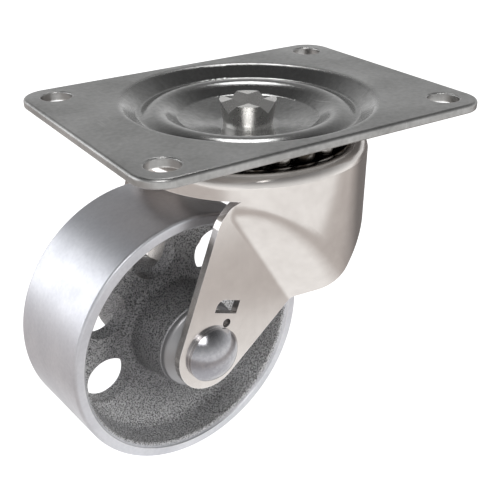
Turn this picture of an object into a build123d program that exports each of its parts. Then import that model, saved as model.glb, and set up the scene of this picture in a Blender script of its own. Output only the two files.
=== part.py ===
from build123d import *
import os
from math import cos, radians, sin

# Swivel plate caster with a cast-iron wheel, millimetres.
# Origin: centre of the mounting plate's top face. Z is up, the wheel trails towards -X,
# and its axle lies along Y when the fork is turned back to zero.

# Mounting plate
plate_length = 106.0
plate_width = 79.5
plate_thickness = 2.5
plate_corner = 8.0
plate_top_roll = 0.9
plate_under_roll = 0.5
bolt_spacing_x = 88.0
bolt_spacing_y = 62.0
bolt_hole_radius = 4.4
bolt_hole_roll = 0.4
dish_radius = 37.0
dish_lip = 0.8
dish_floor = -7.4
dish_floor_radius = 9.0
channel_foot_radius = 20.3
channel_foot_depth = 5.2
channel_radius = 25.5
channel_depth = 1.65
groove_radius = 30.8
groove_depth = 4.15
dish_bends = (3.0, 3.0, 4.6, 3.0, 2.0)

# Swivel bearing
upper_pitch = 25.9
upper_ball_radius = 3.175
upper_ball_count = 24
upper_ball_z = -8.2
lower_pitch = 14.5
lower_ball_radius = 2.38
lower_ball_count = 18
lower_ball_z = -14.88
race_neck_radius = 10.4
race_radius = 18.8
race_lip = -16.4
race_bottom = -19.4
race_clearance = 0.1
rest_turn = 5.0

# Kingpin
pin_radius = 5.0
pin_fit = 0.03
pin_head_top = -0.5
pin_head_radius = 8.0
pin_head_foot_radius = 7.0
pin_punch_depth = 2.5
pin_punch_half_width = 3.0
pin_punch_turn = 12.0
pin_foot_radius = 9.0
pin_foot_height = 2.6
pin_foot_bend = 1.6

# Fork
sheet = 2.2
crown_radius = 34.0
crown_skirt_z = -16.7
crown_bore_radius = 11.4
crown_seat_radius = 21.0
crown_seat_z = -11.3
crown_track_radius = 26.85
crown_track_z = -13.1
crown_shoulder_radius = 30.8
crown_shoulder_z = -9.9
crown_drop_z = -12.5
crown_bends = (2.0, 4.4, 2.0, 3.2)
leg_half_width = 23.5
leg_end_radius = 11.0
leg_front_lean = 21.9
leg_rear_rise = 36.5
crease_lean = 33.5
crease_foot_x = -2.8
crease_foot_z = -53.2
crease_bend = 2.5
bulge_angle = 40.0
bulge_bend = 10.0
leg_neck_x = -22.6
leg_shoulder_z = -22.0
leg_shoulder_radius = 8.0
fold_z = -13.0
leg_block_x = -20.0
leg_block_length = 50.0
shell_depth = 70.0
window_width = 7.8
window_height = 4.0
window_corner = 2.6
window_x = -25.9
window_z = -47.3
nib_hole_radius = 1.3
nib_hole_x = -26.3
nib_hole_z = -52.4

# Wheel and axle
trail = 31.5
axle_drop = 60.3
wheel_radius = 38.1
tread_width = 30.5
hub_half_length = 20.9
hub_radius = 12.6
hub_face_radius = 10.0
hub_foot_radius = 15.0
hub_slope = 2.2
hub_face_bend = 1.5
hub_foot_bend = 2.5
web_front = -4.0
web_back = 1.0
web_edge_radius = 32.8
web_edge_bend = 4.0
rim_inner_radius = 34.0
rim_lip_width = 1.2
rim_lip_depth = 1.4
tread_bend = 0.9
hub_zone_radius = 16.6
rim_zone_radius = 33.0
web_hole_places = 7
web_hole_count = 6
web_hole_radius = 7.0
web_hole_pitch = 24.6
web_hole_start = 204.5
axle_radius = 4.0
axle_fit = 0.02
sleeve_radius = 5.6
running_fit = 0.05
axle_head_radius = 8.1
axle_head_height = 5.4
axle_head_land = 1.2
axle_tail_radius = 7.0
axle_tail_height = 3.2
axle_tail_land = 0.8


def turned(shape):
    """Swing a piece of the fork or wheel to the angle at which the caster stands."""
    return Rot(0, 0, rest_turn) * shape


def ring_section(path, thickness):
    """Thicken a line of (radius, height) points with round bends and spin it about Z."""
    return revolve(Plane.XZ * trace(path, thickness), Axis.Z)


def rounded(face, points, radius):
    """Round the corners of a flat section that lie at the given points."""
    corners = [min(face.vertices(), key=lambda v: (v.center() - Vector(*p)).length) for p in points]
    return fillet(corners, radius)


def at_axle(shape):
    """Move a piece made around the Y axis to the axle."""
    return turned(Pos(-trail, 0, -axle_drop) * shape)


def mounting_plate():
    """Pressed sheet: flat flange, round groove, ball channel and central dish."""
    mid = -plate_thickness / 2
    flange = extrude(RectangleRounded(plate_length, plate_width, plate_corner), -plate_thickness)
    flange = fillet(flange.edges().group_by(Axis.Z)[-1], plate_top_roll)
    flange = fillet(flange.edges().group_by(Axis.Z)[0], plate_under_roll)
    flange -= extrude(Circle(dish_radius + 1), -plate_thickness)
    points = [
        (pin_radius + pin_fit, mid + dish_floor),
        (dish_floor_radius, mid + dish_floor),
        (channel_foot_radius, mid - channel_foot_depth),
        (channel_radius, mid - channel_depth),
        (groove_radius, mid - groove_depth),
        (dish_radius - dish_lip, mid),
        (dish_radius + 1, mid),
    ]
    dish = ring_section(FilletPolyline(*points, radius=dish_bends), plate_thickness)
    corners = GridLocations(bolt_spacing_x, bolt_spacing_y, 2, 2)
    plate = flange + dish - corners * Cylinder(bolt_hole_radius, 4 * plate_thickness)
    mouths = [edge for edge in plate.edges().filter_by(GeomType.CIRCLE)
              if abs(edge.radius - bolt_hole_radius) < 0.01 and abs(edge.center().Z) < 0.01]
    return fillet(mouths, bolt_hole_roll)


def kingpin():
    """Rivet through plate and lower race, its head spread with a wide cross punch."""
    upright = (Align.CENTER, Align.CENTER, Align.MIN)
    head_height = pin_head_top - dish_floor
    head = Pos(0, 0, dish_floor) * Cone(pin_head_foot_radius, pin_head_radius, head_height, align=upright)
    shank = Pos(0, 0, race_bottom) * Cylinder(pin_radius, dish_floor - race_bottom, align=upright)
    foot_z = race_bottom - pin_foot_height
    foot = Pos(0, 0, foot_z) * Cylinder(pin_foot_radius, pin_foot_height, align=upright)
    foot = fillet(foot.edges().group_by(Axis.Z)[0], pin_foot_bend)
    corner = (pin_punch_half_width, 0)
    wedge = make_face(Polyline((-pin_punch_half_width, 0), corner, (0, -pin_punch_depth), close=True))
    groove = Pos(0, 0, pin_head_top) * extrude(Plane.XZ * wedge, pin_head_radius + 1, both=True)
    punched = head - Rot(0, 0, pin_punch_turn) * groove - Rot(0, 0, pin_punch_turn + 90) * groove
    return punched + shank + foot


def lower_race():
    """Turned collar under the fork: its neck meets the plate, its flange holds the balls."""
    top = dish_floor - plate_thickness
    bore = pin_radius + pin_fit
    points = [
        (bore, top),
        (race_neck_radius, top),
        (race_neck_radius, race_lip),
        (race_radius, race_lip),
        (race_radius, race_bottom),
        (bore, race_bottom),
    ]
    body = revolve(Plane.XZ * make_face(Polyline(*points, close=True)), Axis.Z)
    track = Torus(lower_pitch, lower_ball_radius + race_clearance)
    return body - Pos(0, 0, lower_ball_z) * track


def ball(pitch, radius, height, angle):
    """One bearing ball on its pitch circle."""
    return Pos(pitch * cos(radians(angle)), pitch * sin(radians(angle)), height) * Sphere(radius)


def crown():
    """Round top of the fork: inner seat, ball track, shoulder and short skirt."""
    skirt_radius = crown_radius - sheet / 2
    points = [
        (crown_bore_radius, crown_seat_z),
        (crown_seat_radius, crown_seat_z),
        (crown_track_radius, crown_track_z),
        (crown_shoulder_radius, crown_shoulder_z),
        (skirt_radius, crown_drop_z),
        (skirt_radius, crown_skirt_z),
    ]
    return ring_section(FilletPolyline(*points, radius=crown_bends), sheet)


def side_profile():
    """Side view of legs and hood: front edge, round end and one straight rear edge."""
    front = Vector(-sin(radians(leg_front_lean)), -cos(radians(leg_front_lean)))
    rear = Vector(-cos(radians(leg_rear_rise)), -sin(radians(leg_rear_rise)))
    end = Vector(-trail, -axle_drop)
    front_touch = end + front.rotate(Axis.Z, -90) * leg_end_radius
    rear_touch = end + rear.rotate(Axis.Z, 90) * leg_end_radius
    bottom = end + (front + rear).normalized() * leg_end_radius
    shoulder = front_touch - front * ((leg_shoulder_z - front_touch.Y) / -front.Y)
    reach = crown_radius + 1
    rear_end = rear_touch - rear * ((reach - rear_touch.X) / -rear.X)
    neck = Vector(leg_neck_x, crown_skirt_z)
    outline = Polyline(rear_end, rear_touch)
    outline += ThreePointArc(rear_touch, bottom, front_touch)
    outline += Polyline(front_touch, shoulder, neck, (neck.X, fold_z), (reach, fold_z), rear_end)
    face = rounded(make_face(outline), [tuple(shoulder)[:2]], leg_shoulder_radius)
    return extrude(Plane.XZ * face, crown_radius + 1, both=True)


def shell_form(inset):
    """Solid within the outside of legs and hood, or within the inside when inset by the sheet."""
    depth = shell_depth
    half = leg_half_width - inset
    hang = (Align.CENTER, Align.CENTER, Align.MAX)
    legs = Pos(leg_block_x, 0, fold_z) * Box(leg_block_length, 2 * half, depth, align=hang)
    drum = Pos(0, 0, fold_z) * Cylinder(crown_radius - inset, depth, align=hang)
    lean = radians(crease_lean)
    turn = radians(bulge_angle)
    down = Vector(sin(lean), 0, -cos(lean))
    for side in (-1, 1):
        across = Vector(cos(turn), side * sin(turn), 0)
        normal = (down.cross(across) * -side).normalized()
        start = Vector(crease_foot_x, side * leg_half_width, crease_foot_z) - normal * inset
        outside = Box(4 * depth, 4 * depth, depth, align=(Align.CENTER, Align.CENTER, Align.MIN))
        drum -= Plane(start, x_dir=down, z_dir=normal) * outside
    bends = drum.edges().filter_by(GeomType.ELLIPSE)
    drum = fillet(bends, bulge_bend - inset)
    form = legs + drum
    creases = [edge for edge in form.edges().filter_by(GeomType.LINE)
               if abs(edge.tangent_at(0.5).dot(down)) > 0.999]
    return fillet(creases, crease_bend + inset)


def window():
    """Cutter for the slot pierced in each leg, one corner of it rounded."""
    face = Rectangle(window_width, window_height)
    face = rounded(face, [(-window_width / 2, window_height / 2)], window_corner)
    bar = extrude(Plane.XZ * face, crown_radius, both=True)
    return Pos(window_x, 0, window_z) * (Rot(0, leg_front_lean, 0) * bar)


def fork():
    """One pressing: round crown, rear hood and two flat legs with axle holes."""
    wall = (shell_form(0) - shell_form(sheet)) & side_profile()
    body = crown() + wall - window()
    body -= Pos(-trail, 0, -axle_drop) * (Rot(90, 0, 0) * Cylinder(axle_radius + axle_fit, 2 * crown_radius))
    body -= Pos(nib_hole_x, 0, nib_hole_z) * (Rot(90, 0, 0) * Cylinder(nib_hole_radius, 2 * crown_radius))
    return turned(body)


def dome(radius, height, land):
    """Rivet head standing on the XY plane: a short land and a spherical cap."""
    rise = height - land
    cap_radius = (radius ** 2 + rise ** 2) / (2 * rise)
    cap = Pos(0, 0, height - cap_radius) * Sphere(cap_radius)
    blank = Cylinder(radius, height, align=(Align.CENTER, Align.CENTER, Align.MIN))
    return blank & cap


def axle():
    """Rivet through both legs and the sleeve, with a domed head on the near side."""
    shank = Rot(90, 0, 0) * Cylinder(axle_radius, 2 * leg_half_width)
    head = dome(axle_head_radius, axle_head_height, axle_head_land)
    tail = dome(axle_tail_radius, axle_tail_height, axle_tail_land)
    head = Pos(0, -leg_half_width, 0) * (Rot(90, 0, 0) * head)
    tail = Pos(0, leg_half_width, 0) * (Rot(-90, 0, 0) * tail)
    return at_axle(shank + head + tail)


def axle_sleeve():
    """Spacer tube clamped between the legs; the wheel turns on it."""
    half = leg_half_width - sheet
    tube = Cylinder(sleeve_radius, 2 * half) - Cylinder(axle_radius + axle_fit, 2 * half)
    return at_axle(Rot(90, 0, 0) * tube)


def wheel_section():
    """Half section of the cast wheel: radius across, axle direction up."""
    bore = sleeve_radius + running_fit
    half = tread_width / 2
    hub_edge = hub_half_length - hub_slope
    lip = rim_inner_radius + rim_lip_width
    points = [
        (bore, -hub_half_length),
        (hub_face_radius, -hub_half_length),
        (hub_radius, -hub_edge),
        (hub_foot_radius, web_front),
        (web_edge_radius, web_front),
        (rim_inner_radius, rim_lip_depth - half),
        (lip, -half),
        (wheel_radius, -half),
        (wheel_radius, half),
        (lip, half),
        (rim_inner_radius, half - rim_lip_depth),
        (web_edge_radius, web_back),
        (hub_foot_radius, web_back),
        (hub_radius, hub_edge),
        (hub_face_radius, hub_half_length),
        (bore, hub_half_length),
    ]
    face = make_face(Polyline(*points, close=True))
    face = rounded(face, [(wheel_radius, -half), (wheel_radius, half)], tread_bend)
    face = rounded(face, [(web_edge_radius, web_front), (web_edge_radius, web_back)], web_edge_bend)
    face = rounded(face, [(hub_foot_radius, web_front), (hub_foot_radius, web_back)], hub_foot_bend)
    return rounded(face, [(hub_radius, -hub_edge), (hub_radius, hub_edge)], hub_face_bend)


def casting():
    """Cast wheel around the Y axis: plain tread, recessed web with round holes, long hub."""
    body = revolve(wheel_section(), Axis.Y)
    for index in range(web_hole_count):
        angle = radians(web_hole_start - 360 / web_hole_places * index)
        spot = Pos(web_hole_pitch * cos(angle), 0, web_hole_pitch * sin(angle))
        body -= spot * (Rot(90, 0, 0) * Cylinder(web_hole_radius, tread_width))
    return body


def wheel_parts():
    """The casting divided at two circles, so that rim, web and hub keep their own outlines."""
    body = casting()
    width = 2 * hub_half_length + 2
    inner = Rot(90, 0, 0) * Cylinder(hub_zone_radius, width)
    outer = Rot(90, 0, 0) * Cylinder(rim_zone_radius, width)
    zones = {
        "wheel_hub": body & inner,
        "wheel_web": (body & outer) - inner,
        "wheel_rim": body - outer,
    }
    return {name: at_axle(shape) for name, shape in zones.items()}


os.makedirs("parts", exist_ok=True)
pieces = {
    "mounting_plate": mounting_plate(),
    "kingpin": kingpin(),
    "lower_race": lower_race(),
    "fork": fork(),
    "axle": axle(),
    "axle_sleeve": axle_sleeve(),
    **wheel_parts(),
}
for index in range(upper_ball_count):
    angle = 360 / upper_ball_count * index
    pieces[f"upper_ball_{index + 1:02d}"] = ball(upper_pitch, upper_ball_radius, upper_ball_z, angle)
for index in range(lower_ball_count):
    angle = 360 / lower_ball_count * index
    pieces[f"lower_ball_{index + 1:02d}"] = ball(lower_pitch, lower_ball_radius, lower_ball_z, angle)

for name, shape in pieces.items():
    export_step(shape, f"parts/{name}.step")
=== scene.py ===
from math import cos, radians, sin

import bmesh
import bpy
from mathutils import Matrix, Vector


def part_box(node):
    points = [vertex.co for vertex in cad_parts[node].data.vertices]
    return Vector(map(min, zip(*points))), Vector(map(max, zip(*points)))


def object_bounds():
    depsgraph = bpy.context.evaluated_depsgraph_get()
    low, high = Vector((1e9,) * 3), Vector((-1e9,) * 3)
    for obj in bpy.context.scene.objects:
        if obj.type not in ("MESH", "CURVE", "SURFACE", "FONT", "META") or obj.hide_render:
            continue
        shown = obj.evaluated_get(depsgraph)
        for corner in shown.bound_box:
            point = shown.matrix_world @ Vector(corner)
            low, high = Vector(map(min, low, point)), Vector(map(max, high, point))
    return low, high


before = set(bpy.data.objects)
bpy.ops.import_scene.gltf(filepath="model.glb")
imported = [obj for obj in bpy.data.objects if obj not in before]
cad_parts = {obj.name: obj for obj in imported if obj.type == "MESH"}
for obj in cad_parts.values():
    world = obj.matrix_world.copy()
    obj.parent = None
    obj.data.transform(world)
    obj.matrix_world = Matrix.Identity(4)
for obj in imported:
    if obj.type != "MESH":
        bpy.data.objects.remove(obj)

cad_low, cad_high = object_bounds()

# Mounting plate.
# Low-carbon sheet, blanked and pressed in one hit, then barrel-plated with zinc. The flange is
# satin grey, the pressed grooves are burnished, and the blanked edges are rolled over and bright.
PLATE_GREY = (0.50, 0.50, 0.495, 1)
PLATE_DULL = (0.31, 0.31, 0.305, 1)
BRIGHT_EDGE = (0.92, 0.92, 0.91, 1)
PLATE_ROUGH = (0.38, 0.31)
PLATE_GRAIN = 2600.0
PLATE_RELIEF = 0.000012
DISH_RADIUS = 0.0365
DISH_BLEND = 0.0015
DISH_BURNISH = 0.15
EDGE_TURN = (0.995, 0.86)
CHIP_RANGE = (0.30, 0.55)
SCRATCH_RUNS = ((0.35, 1900.0), (1.25, 2400.0), (2.45, 1500.0))
SCRATCH_STRETCH = 45.0
SCRATCH_TILT = (0.2, 0.15)


def add(tree, kind, feeds=None, **settings):
    """One shader node, its settings, and what feeds each socket: a value or another socket."""
    made = tree.nodes.new("ShaderNode" + kind)
    for name, value in settings.items():
        setattr(made, name, value)
    for name, value in (feeds or {}).items():
        if isinstance(value, bpy.types.NodeSocket):
            tree.links.new(value, made.inputs[name])
        else:
            made.inputs[name].default_value = value
    return made


def effect(name, inputs, outputs):
    """An empty node group with named float inputs and outputs, and its two end nodes."""
    group = bpy.data.node_groups.new(name, "ShaderNodeTree")
    for label, value in inputs.items():
        socket = group.interface.new_socket(label, in_out="INPUT", socket_type="NodeSocketFloat")
        socket.default_value = value
    for label in outputs:
        group.interface.new_socket(label, in_out="OUTPUT", socket_type="NodeSocketFloat")
    return group, group.nodes.new("NodeGroupInput"), group.nodes.new("NodeGroupOutput")


def use(tree, group, **values):
    """A node group placed in a material with its own values."""
    placed = tree.nodes.new("ShaderNodeGroup")
    placed.node_tree = group
    for label, value in values.items():
        placed.inputs[label].default_value = value
    return placed


def calc(tree, operation, *feeds, clamp=False):
    """A maths node; feeds are numbers or sockets."""
    made = add(tree, "Math", operation=operation, use_clamp=clamp)
    for index, value in enumerate(feeds):
        if isinstance(value, bpy.types.NodeSocket):
            tree.links.new(value, made.inputs[index])
        else:
            made.inputs[index].default_value = value
    return made.outputs[0]


def spread(tree, value, low, high, to_low=0.0, to_high=1.0):
    """Stretch the part of a value between low and high over a new range."""
    feeds = {"Value": value, "From Min": low, "From Max": high, "To Min": to_low, "To Max": to_high}
    return add(tree, "MapRange", feeds).outputs["Result"]


def tint(tree, mask, under, over):
    """Lay one colour over another where a mask is bright."""
    made = add(tree, "Mix", data_type="RGBA")
    tree.links.new(mask, made.inputs[0])
    for index, value in ((6, under), (7, over)):
        if isinstance(value, bpy.types.NodeSocket):
            tree.links.new(value, made.inputs[index])
        else:
            made.inputs[index].default_value = value
    return made.outputs[2]


def metal(name):
    """A new metallic material: its tree, its shader and object coordinates."""
    made = bpy.data.materials.new(name)
    made.use_nodes = True
    tree = made.node_tree
    shader = tree.nodes["Principled BSDF"]
    shader.inputs["Metallic"].default_value = 1.0
    place = add(tree, "TexCoord").outputs["Object"]
    return made, tree, shader, place


def finish_metal(tree, shader, colour, roughness, height, depth):
    """Join the colour, roughness and relief of a metal to its shader."""
    tree.links.new(colour, shader.inputs["Base Color"])
    tree.links.new(roughness, shader.inputs["Roughness"])
    relief = add(tree, "Bump", {"Height": height, "Distance": depth, "Strength": 1.0})
    tree.links.new(relief.outputs["Normal"], shader.inputs["Normal"])


def paint(material, *nodes):
    """Give CAD nodes their material."""
    for node in nodes:
        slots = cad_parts[node].data.materials
        slots.clear()
        slots.append(material)


def distance(tree, place, keep):
    """Distance from the origin along the kept axes only."""
    flat = add(tree, "VectorMath", {0: place, 1: keep}, operation="MULTIPLY").outputs["Vector"]
    return add(tree, "VectorMath", {0: flat}, operation="LENGTH").outputs["Value"]


# Worn edges: where the surface turns within the radius, broken up by a fine noise.
edge_wear, start, end = effect("edge_wear", {"Radius": 0.0006, "Breakup": 900.0}, ("Mask",))
soft = add(edge_wear, "Bevel", {"Radius": start.outputs["Radius"]}, samples=6)
true = add(edge_wear, "NewGeometry")
turn = add(edge_wear, "VectorMath", {0: soft.outputs["Normal"], 1: true.outputs["Normal"]},
           operation="DOT_PRODUCT")
sharp = spread(edge_wear, turn.outputs["Value"], *EDGE_TURN)
place = add(edge_wear, "TexCoord").outputs["Object"]
chips = add(edge_wear, "TexNoise", {"Vector": place, "Scale": start.outputs["Breakup"], "Detail": 3.0})
broken = spread(edge_wear, chips.outputs["Fac"], *CHIP_RANGE)
edge_wear.links.new(calc(edge_wear, "MULTIPLY", sharp, broken, clamp=True), end.inputs["Mask"])

# Handling marks: long thin scratches in three directions, from stretched noise.
scratches, start, end = effect("scratches", {"Density": 0.5, "Length": 1.0}, ("Mask",))
place = add(scratches, "TexCoord").outputs["Object"]
total = None
for angle, stretch in SCRATCH_RUNS:
    turned = add(scratches, "Mapping", {"Vector": place, "Rotation": (*SCRATCH_TILT, angle),
                                        "Scale": (stretch, SCRATCH_STRETCH, SCRATCH_STRETCH)})
    lines = add(scratches, "TexNoise", {"Vector": turned.outputs["Vector"], "Scale": 1.0, "Detail": 1.0})
    thin = spread(scratches, lines.outputs["Fac"], 0.70, 0.78)
    total = thin if total is None else calc(scratches, "MAXIMUM", total, thin)
zones = add(scratches, "TexNoise", {"Vector": place, "Scale": 60.0, "Detail": 2.0})
sparse = spread(scratches, zones.outputs["Fac"], 0.48, 0.66)
held = calc(scratches, "MULTIPLY", total, sparse)
scratches.links.new(calc(scratches, "MULTIPLY", held, start.outputs["Density"], clamp=True),
                    end.inputs["Mask"])

# Cloudy tone: two sizes of soft noise, centred on a half.
clouds, start, end = effect("clouds", {"Scale": 40.0, "Fine": 400.0}, ("Tone",))
place = add(clouds, "TexCoord").outputs["Object"]
broad = add(clouds, "TexNoise", {"Vector": place, "Scale": start.outputs["Scale"], "Detail": 4.0})
fine = add(clouds, "TexNoise", {"Vector": place, "Scale": start.outputs["Fine"], "Detail": 2.0})
mixed = calc(clouds, "ADD", calc(clouds, "MULTIPLY", broad.outputs["Fac"], 0.7),
             calc(clouds, "MULTIPLY", fine.outputs["Fac"], 0.3))
clouds.links.new(spread(clouds, mixed, 0.35, 0.65), end.inputs["Tone"])

zinc, tree, shader, place = metal("zinc_plate")
tone = use(tree, clouds, Scale=45.0, Fine=700.0).outputs["Tone"]
wear = use(tree, edge_wear, Radius=0.0007, Breakup=700.0).outputs["Mask"]
marks = use(tree, scratches, Density=0.5).outputs["Mask"]
colour = tint(tree, tone, PLATE_DULL, PLATE_GREY)
colour = tint(tree, calc(tree, "MAXIMUM", wear, calc(tree, "MULTIPLY", marks, 0.5)), colour, BRIGHT_EDGE)
pressed = spread(tree, distance(tree, place, (1, 1, 0)), DISH_RADIUS, DISH_RADIUS - DISH_BLEND)
rough = spread(tree, tone, 0.0, 1.0, *PLATE_ROUGH)
rough = calc(tree, "SUBTRACT", rough, calc(tree, "MULTIPLY", wear, 0.10))
rough = calc(tree, "SUBTRACT", rough, calc(tree, "MULTIPLY", pressed, DISH_BURNISH))
grain = add(tree, "TexNoise", {"Vector": place, "Scale": PLATE_GRAIN, "Detail": 3.0})
relief = calc(tree, "SUBTRACT", grain.outputs["Fac"], calc(tree, "MULTIPLY", marks, 0.8))
finish_metal(tree, shader, colour, rough, relief, PLATE_RELIEF)
paint(zinc, "mounting_plate")

# Kingpin.
# Cold-headed steel rivet through the plate's dish. Its head is spread with a wide cross punch,
# which leaves bright facets, and the same stroke closes the bearing.
PIN_STEEL = (0.93, 0.92, 0.90, 1)
PIN_DULL = (0.74, 0.73, 0.71, 1)
PIN_ROUGH = (0.34, 0.22)
PIN_GRAIN = 1800.0
PIN_RELIEF = 0.00001
pin_steel, tree, shader, place = metal("kingpin_steel")
tone = use(tree, clouds, Scale=180.0, Fine=1500.0).outputs["Tone"]
wear = use(tree, edge_wear, Radius=0.0004, Breakup=1500.0).outputs["Mask"]
colour = tint(tree, wear, tint(tree, tone, PIN_DULL, PIN_STEEL), BRIGHT_EDGE)
rough = spread(tree, tone, 0.0, 1.0, *PIN_ROUGH)
grain = add(tree, "TexNoise", {"Vector": place, "Scale": PIN_GRAIN, "Detail": 2.0})
finish_metal(tree, shader, colour, rough, grain.outputs["Fac"], PIN_RELIEF)
paint(pin_steel, "kingpin")

# Bearing balls.
# Two rings of hardened steel balls, the upper between plate and crown, the lower between crown
# and collar. They are ground bright, but their colour is painted dark for the shade in the narrow
# gaps, with smears of dark grease over it.
BALL_STEEL_SHADED = (0.34, 0.33, 0.32, 1)
BALL_GREASE_AND_SHADE = (0.06, 0.05, 0.04, 1)
SMEAR_SIZE = 260.0
SMEAR_RANGE = (0.40, 0.58)
BALL_ROUGH = (0.12, 0.38)
BALL_RELIEF = 0.00002
ball_steel, tree, shader, place = metal("ball_steel")
film = add(tree, "TexNoise", {"Vector": place, "Scale": SMEAR_SIZE, "Detail": 3.0})
smear = spread(tree, film.outputs["Fac"], *SMEAR_RANGE)
# Painted shade: both ball colours are kept dark for the shade in the gaps between plate, crown and collar.
colour = tint(tree, smear, BALL_STEEL_SHADED, BALL_GREASE_AND_SHADE)
rough = spread(tree, smear, 0.0, 1.0, *BALL_ROUGH)
finish_metal(tree, shader, colour, rough, film.outputs["Fac"], BALL_RELIEF)
paint(ball_steel, *[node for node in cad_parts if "_ball_" in node])

# Lower race.
# Turned steel collar on the kingpin, under the fork's crown. Fine feed lines from the lathe run
# round it, and it is left dull from hardening.
RACE_STEEL = (0.34, 0.33, 0.32, 1)
RACE_LINE = (0.52, 0.51, 0.50, 1)
FEED_LINES = 900.0
RACE_ROUGH = (0.42, 0.30)
RACE_RELIEF = 0.000015
race_steel, tree, shader, place = metal("race_steel")
rings = add(tree, "TexWave", {"Vector": place, "Scale": FEED_LINES, "Distortion": 0.6},
            bands_direction="Z")
wear = use(tree, edge_wear, Radius=0.0004, Breakup=1200.0).outputs["Mask"]
colour = tint(tree, calc(tree, "MAXIMUM", wear, calc(tree, "MULTIPLY", rings.outputs["Fac"], 0.4)),
              RACE_STEEL, RACE_LINE)
rough = spread(tree, rings.outputs["Fac"], 0.0, 1.0, *RACE_ROUGH)
finish_metal(tree, shader, colour, rough, rings.outputs["Fac"], RACE_RELIEF)
paint(race_steel, "lower_race")

# Fork.
# One drawn pressing: round crown over the balls, a hood behind, and two flat legs. It is plated
# bright nickel, so the drawing marks stay as faint ripples and the sheared edges shine.
NICKEL = (0.83, 0.80, 0.775, 1)
NICKEL_DULL = (0.70, 0.665, 0.64, 1)
NICKEL_ROUGH = (0.20, 0.13)
DRAWING_RIPPLE = 70.0
NICKEL_RELIEF = 0.00004
nickel, tree, shader, place = metal("bright_nickel")
tone = use(tree, clouds, Scale=30.0, Fine=260.0).outputs["Tone"]
wear = use(tree, edge_wear, Radius=0.0005, Breakup=900.0).outputs["Mask"]
marks = use(tree, scratches, Density=0.35).outputs["Mask"]
colour = tint(tree, wear, tint(tree, tone, NICKEL_DULL, NICKEL), BRIGHT_EDGE)
rough = spread(tree, tone, 0.0, 1.0, *NICKEL_ROUGH)
rough = calc(tree, "ADD", rough, calc(tree, "MULTIPLY", marks, 0.2))
ripple = add(tree, "TexNoise", {"Vector": place, "Scale": DRAWING_RIPPLE, "Detail": 1.0})
relief = calc(tree, "SUBTRACT", ripple.outputs["Fac"], calc(tree, "MULTIPLY", marks, 0.15))
finish_metal(tree, shader, colour, rough, relief, NICKEL_RELIEF)
paint(nickel, "fork")

# Axle and its sleeve.
# Steel rivet through both legs, headed to a smooth dome on the near side, with a plain spacer
# tube on it for the wheel to turn on. Both are plated with the fork.
AXLE_BRIGHT = (0.54, 0.54, 0.56, 1)
AXLE_CLOUD = (0.36, 0.36, 0.39, 1)
AXLE_ROUGH = (0.24, 0.15)
AXLE_GRAIN = 1300.0
AXLE_RELIEF = 0.000008
rivet, tree, shader, place = metal("rivet_steel")
tone = use(tree, clouds, Scale=120.0, Fine=900.0).outputs["Tone"]
wear = use(tree, edge_wear, Radius=0.0003, Breakup=1400.0).outputs["Mask"]
colour = tint(tree, wear, tint(tree, tone, AXLE_CLOUD, AXLE_BRIGHT), BRIGHT_EDGE)
rough = spread(tree, tone, 0.0, 1.0, *AXLE_ROUGH)
grain = add(tree, "TexNoise", {"Vector": place, "Scale": AXLE_GRAIN, "Detail": 2.0})
finish_metal(tree, shader, colour, rough, grain.outputs["Fac"], AXLE_RELIEF)
paint(rivet, "axle", "axle_sleeve")

# Wheel.
# Grey iron, sand cast in one piece. The tread and the rim's faces are turned and painted silver,
# and the hub's ends are turned bare. The recessed web and the round holes keep the mould's coarse
# skin, darker towards the axle: mostly painted shade in the recess round the hub, partly oil.
TREAD_SILVER = (0.62, 0.63, 0.67, 1)
TREAD_PALE = (0.74, 0.75, 0.79, 1)
HUB_FACE = (0.36, 0.36, 0.37, 1)
SAND_DARK = (0.030, 0.031, 0.034, 1)
SAND_LIGHT = (0.86, 0.86, 0.87, 1)
SAND_OILED_SHADED = (0.38, 0.38, 0.39, 1)
HUB_TURNED_FROM = 0.0168
HUB_BLEND = 0.0006
RECESS_EDGE = (0.0349, 0.0342)
OIL_AND_SHADE_RANGE = (0.020, 0.031)
GRIT_RANGE = (0.58, 0.80)
SAND_GRAIN = 3000.0
SAND_PITS = 2400.0
TREAD_ROUGH = (0.44, 0.36)
SAND_ROUGH = (0.62, 0.34)
SAND_RELIEF = 0.00035
WHEEL_TURN = radians(5.0)
iron, tree, shader, place = metal("cast_iron")
rim_low, rim_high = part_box("wheel_rim")
centre = (rim_low + rim_high) / 2
centred = add(tree, "Mapping", {"Vector": place, "Location": -centre}, vector_type="POINT")
squared = add(tree, "Mapping", {"Vector": centred.outputs["Vector"], "Rotation": (0, 0, -WHEEL_TURN)})
axes = add(tree, "SeparateXYZ", {"Vector": squared.outputs["Vector"]})
radius = distance(tree, squared.outputs["Vector"], (1, 0, 1))
depth = calc(tree, "ABSOLUTE", axes.outputs["Y"])
inside = spread(tree, radius, *RECESS_EDGE)
hub_end = spread(tree, depth, HUB_TURNED_FROM, HUB_TURNED_FROM + HUB_BLEND)
cast = calc(tree, "MULTIPLY", inside, calc(tree, "SUBTRACT", 1.0, hub_end))
coarse = add(tree, "TexNoise", {"Vector": place, "Scale": SAND_GRAIN, "Detail": 4.0, "Roughness": 0.75})
pits = add(tree, "TexVoronoi", {"Vector": place, "Scale": SAND_PITS})
sand = calc(tree, "ADD", coarse.outputs["Fac"], calc(tree, "MULTIPLY", pits.outputs["Distance"], 0.5))
tone = use(tree, clouds, Scale=70.0, Fine=900.0).outputs["Tone"]
marks = use(tree, scratches, Density=0.8).outputs["Mask"]
wear = use(tree, edge_wear, Radius=0.0007, Breakup=800.0).outputs["Mask"]
painted = tint(tree, hub_end, tint(tree, tone, TREAD_SILVER, TREAD_PALE), HUB_FACE)
painted = tint(tree, calc(tree, "MULTIPLY", wear, 0.8), painted, BRIGHT_EDGE)
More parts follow.
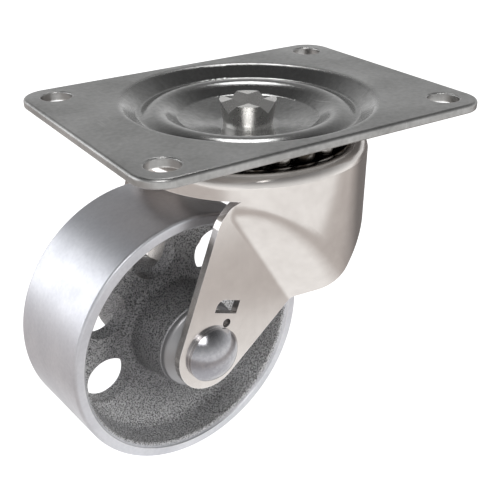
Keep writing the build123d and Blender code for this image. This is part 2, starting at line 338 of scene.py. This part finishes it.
# Painted shade: the sand skin darkens towards the hub, mostly for the shade in the recess, partly for oil.
shaded_skin = tint(tree, spread(tree, radius, *OIL_AND_SHADE_RANGE), SAND_OILED_SHADED, SAND_LIGHT)
grit = tint(tree, spread(tree, sand, *GRIT_RANGE), SAND_DARK, shaded_skin)
colour = tint(tree, cast, painted, grit)
smooth = spread(tree, tone, 0.0, 1.0, *TREAD_ROUGH)
harsh = spread(tree, sand, 0.5, 1.0, *SAND_ROUGH)
rough = add(tree, "Mix", {0: cast, 2: smooth, 3: harsh}).outputs[0]
height = calc(tree, "MULTIPLY", sand, cast)
dents = calc(tree, "MULTIPLY", marks, -0.05)
finish_metal(tree, shader, colour, rough, calc(tree, "ADD", height, dents), SAND_RELIEF)
paint(iron, "wheel_rim", "wheel_web", "wheel_hub")

# Studio.
# A wide pale floor under the wheel that glows white to the camera, and a soft surround that darkens
# overhead, with three soft boxes. None of it is part of the caster. What the metal mirrors of the
# floor is a painted reflection: a glow that is bright near the wheel and ahead, dimmer further out,
# with a painted shadow to the right and behind, over a darker matt colour.
FLOOR_SIZE = 6.0
FLOOR_WHITE = (0.98, 0.98, 0.98, 1)
FLOOR_NEAR = (0.94, 0.93, 0.92, 1)
FLOOR_FAR = (0.50, 0.46, 0.44, 1)
FLOOR_SHADE = (0.12, 0.105, 0.10, 1)
FLOOR_DIM_FROM = 0.060
FLOOR_DIM_TO = 0.100
SHADE_X = (0.05, 0.09)
SHADE_Y = (-0.07, 0.0)
AHEAD_Y = (-0.125, -0.155)
FLOOR_MATT = (0.6, 0.6, 0.6, 1)
FLOOR_MIRRORED_MATT = (0.12, 0.12, 0.12, 1)
SKY_LEVELS = ((0.25, 0.60), (0.51, 0.30), (0.80, 0.10))
floor_form = bmesh.new()
bmesh.ops.create_grid(floor_form, x_segments=2, y_segments=2, size=FLOOR_SIZE)
bmesh.ops.translate(floor_form, verts=floor_form.verts, vec=(0, 0, cad_low.z))
floor_mesh = bpy.data.meshes.new("floor")
floor_form.to_mesh(floor_mesh)
floor_form.free()
floor = bpy.data.objects.new("floor", floor_mesh)
bpy.context.scene.collection.objects.link(floor)
pale = bpy.data.materials.new("pale_floor")
pale.use_nodes = True
ground = pale.node_tree
surface = ground.nodes["Principled BSDF"]
seen = add(ground, "LightPath").outputs["Is Glossy Ray"]
ground_place = add(ground, "TexCoord").outputs["Object"]
away = distance(ground, ground_place, (1, 1, 0))
near = spread(ground, away, FLOOR_DIM_FROM, FLOOR_DIM_TO, 1.0, 0.0)
spot = add(ground, "SeparateXYZ", {"Vector": ground_place})
aside = calc(ground, "MULTIPLY", spread(ground, spot.outputs["X"], *SHADE_X),
             spread(ground, spot.outputs["Y"], *SHADE_Y))
ahead = spread(ground, spot.outputs["Y"], *AHEAD_Y)
# Painted reflection: the metal mirrors this glow, bright near the wheel and ahead, dimmer further out, with a
# painted shadow to the right and behind.
mirrored = tint(ground, aside, tint(ground, near, FLOOR_FAR, FLOOR_NEAR), FLOOR_SHADE)
mirrored = tint(ground, ahead, mirrored, FLOOR_NEAR)
glow = tint(ground, seen, FLOOR_WHITE, mirrored)
ground.links.new(glow, surface.inputs["Emission Color"])
ground.links.new(tint(ground, seen, FLOOR_MATT, FLOOR_MIRRORED_MATT), surface.inputs["Base Color"])
surface.inputs["Roughness"].default_value = 0.9
surface.inputs["Emission Strength"].default_value = 1.0
floor_mesh.materials.append(pale)

world = bpy.data.worlds.new("surround")
bpy.context.scene.world = world
world.use_nodes = True
sky = world.node_tree
direction = add(sky, "TexCoord").outputs["Generated"]
rise = add(sky, "SeparateXYZ", {"Vector": direction}).outputs["Z"]
shade = add(sky, "ValToRGB", {"Fac": rise})
ramp = shade.color_ramp
ramp.elements[0].position = 0.0
ramp.elements[0].color = (0.9, 0.9, 0.9, 1)
ramp.elements[1].position = 1.0
ramp.elements[1].color = (0.06, 0.06, 0.06, 1)
for height_up, level in SKY_LEVELS:
    ramp.elements.new(height_up).color = (level, level, level, 1)
direct = add(sky, "LightPath").outputs["Is Camera Ray"]
sky.links.new(tint(sky, direct, shade.outputs["Color"], FLOOR_WHITE), sky.nodes["Background"].inputs["Color"])
sky.nodes["Background"].inputs["Strength"].default_value = 1.0


def soft_box(name, place, target, width, height, power, warmth):
    """A rectangular soft box that faces a point."""
    lamp = bpy.data.lights.new(name, "AREA")
    lamp.shape = "RECTANGLE"
    lamp.size = width
    lamp.size_y = height
    lamp.energy = power
    lamp.color = warmth
    box = bpy.data.objects.new(name, lamp)
    box.location = place
    box.rotation_mode = "QUATERNION"
    box.rotation_quaternion = (Vector(target) - Vector(place)).to_track_quat("-Z", "Y")
    box.visible_camera = False
    bpy.context.scene.collection.objects.link(box)


soft_box("top_box", (0.24, 0.37, 0.76), (0, 0, -0.02), 0.24, 0.24, 0.9, (1.0, 1.0, 1.0))
soft_box("left_box", (-0.62, 0.45, 0.20), (0, 0, -0.06), 0.70, 0.50, 1.6, (0.97, 0.98, 1.0))
soft_box("front_box", (-0.33, -0.52, 0.72), (0, 0, -0.02), 0.45, 0.45, 2.5, (1.0, 0.99, 0.98))

# Camera.
# Stands in front and to the left, looking down on the plate, with the wheel trailing towards it.
CAMERA_PLACE = Vector((-0.125093, -0.186388, 0.068721))
CAMERA_AZIMUTH = radians(-32.431)
CAMERA_HEIGHT = radians(30.944)
CAMERA_ROLL = radians(-0.638)
SENSOR_WIDTH = 36.0
LENS_LENGTH = 58.955
LENS_SHIFT = (0.04, 0.10)
NEAR_CLIP = 0.01
FAR_CLIP = 20.0
back = Vector((sin(CAMERA_AZIMUTH) * cos(CAMERA_HEIGHT), -cos(CAMERA_AZIMUTH) * cos(CAMERA_HEIGHT),
               sin(CAMERA_HEIGHT)))
level_right = Vector((cos(CAMERA_AZIMUTH), sin(CAMERA_AZIMUTH), 0))
level_up = back.cross(level_right)
right = cos(CAMERA_ROLL) * level_right + sin(CAMERA_ROLL) * level_up
up = cos(CAMERA_ROLL) * level_up - sin(CAMERA_ROLL) * level_right
lens = bpy.data.cameras.new("camera")
lens.sensor_width = SENSOR_WIDTH
lens.lens = LENS_LENGTH
lens.shift_x, lens.shift_y = LENS_SHIFT
lens.clip_start = NEAR_CLIP
lens.clip_end = FAR_CLIP
camera = bpy.data.objects.new("camera", lens)
camera.matrix_world = Matrix.Translation(CAMERA_PLACE) @ Matrix((right, up, back)).transposed().to_4x4()
bpy.context.scene.collection.objects.link(camera)
bpy.context.scene.camera = camera
bpy.context.scene.view_settings.view_transform = "Standard"
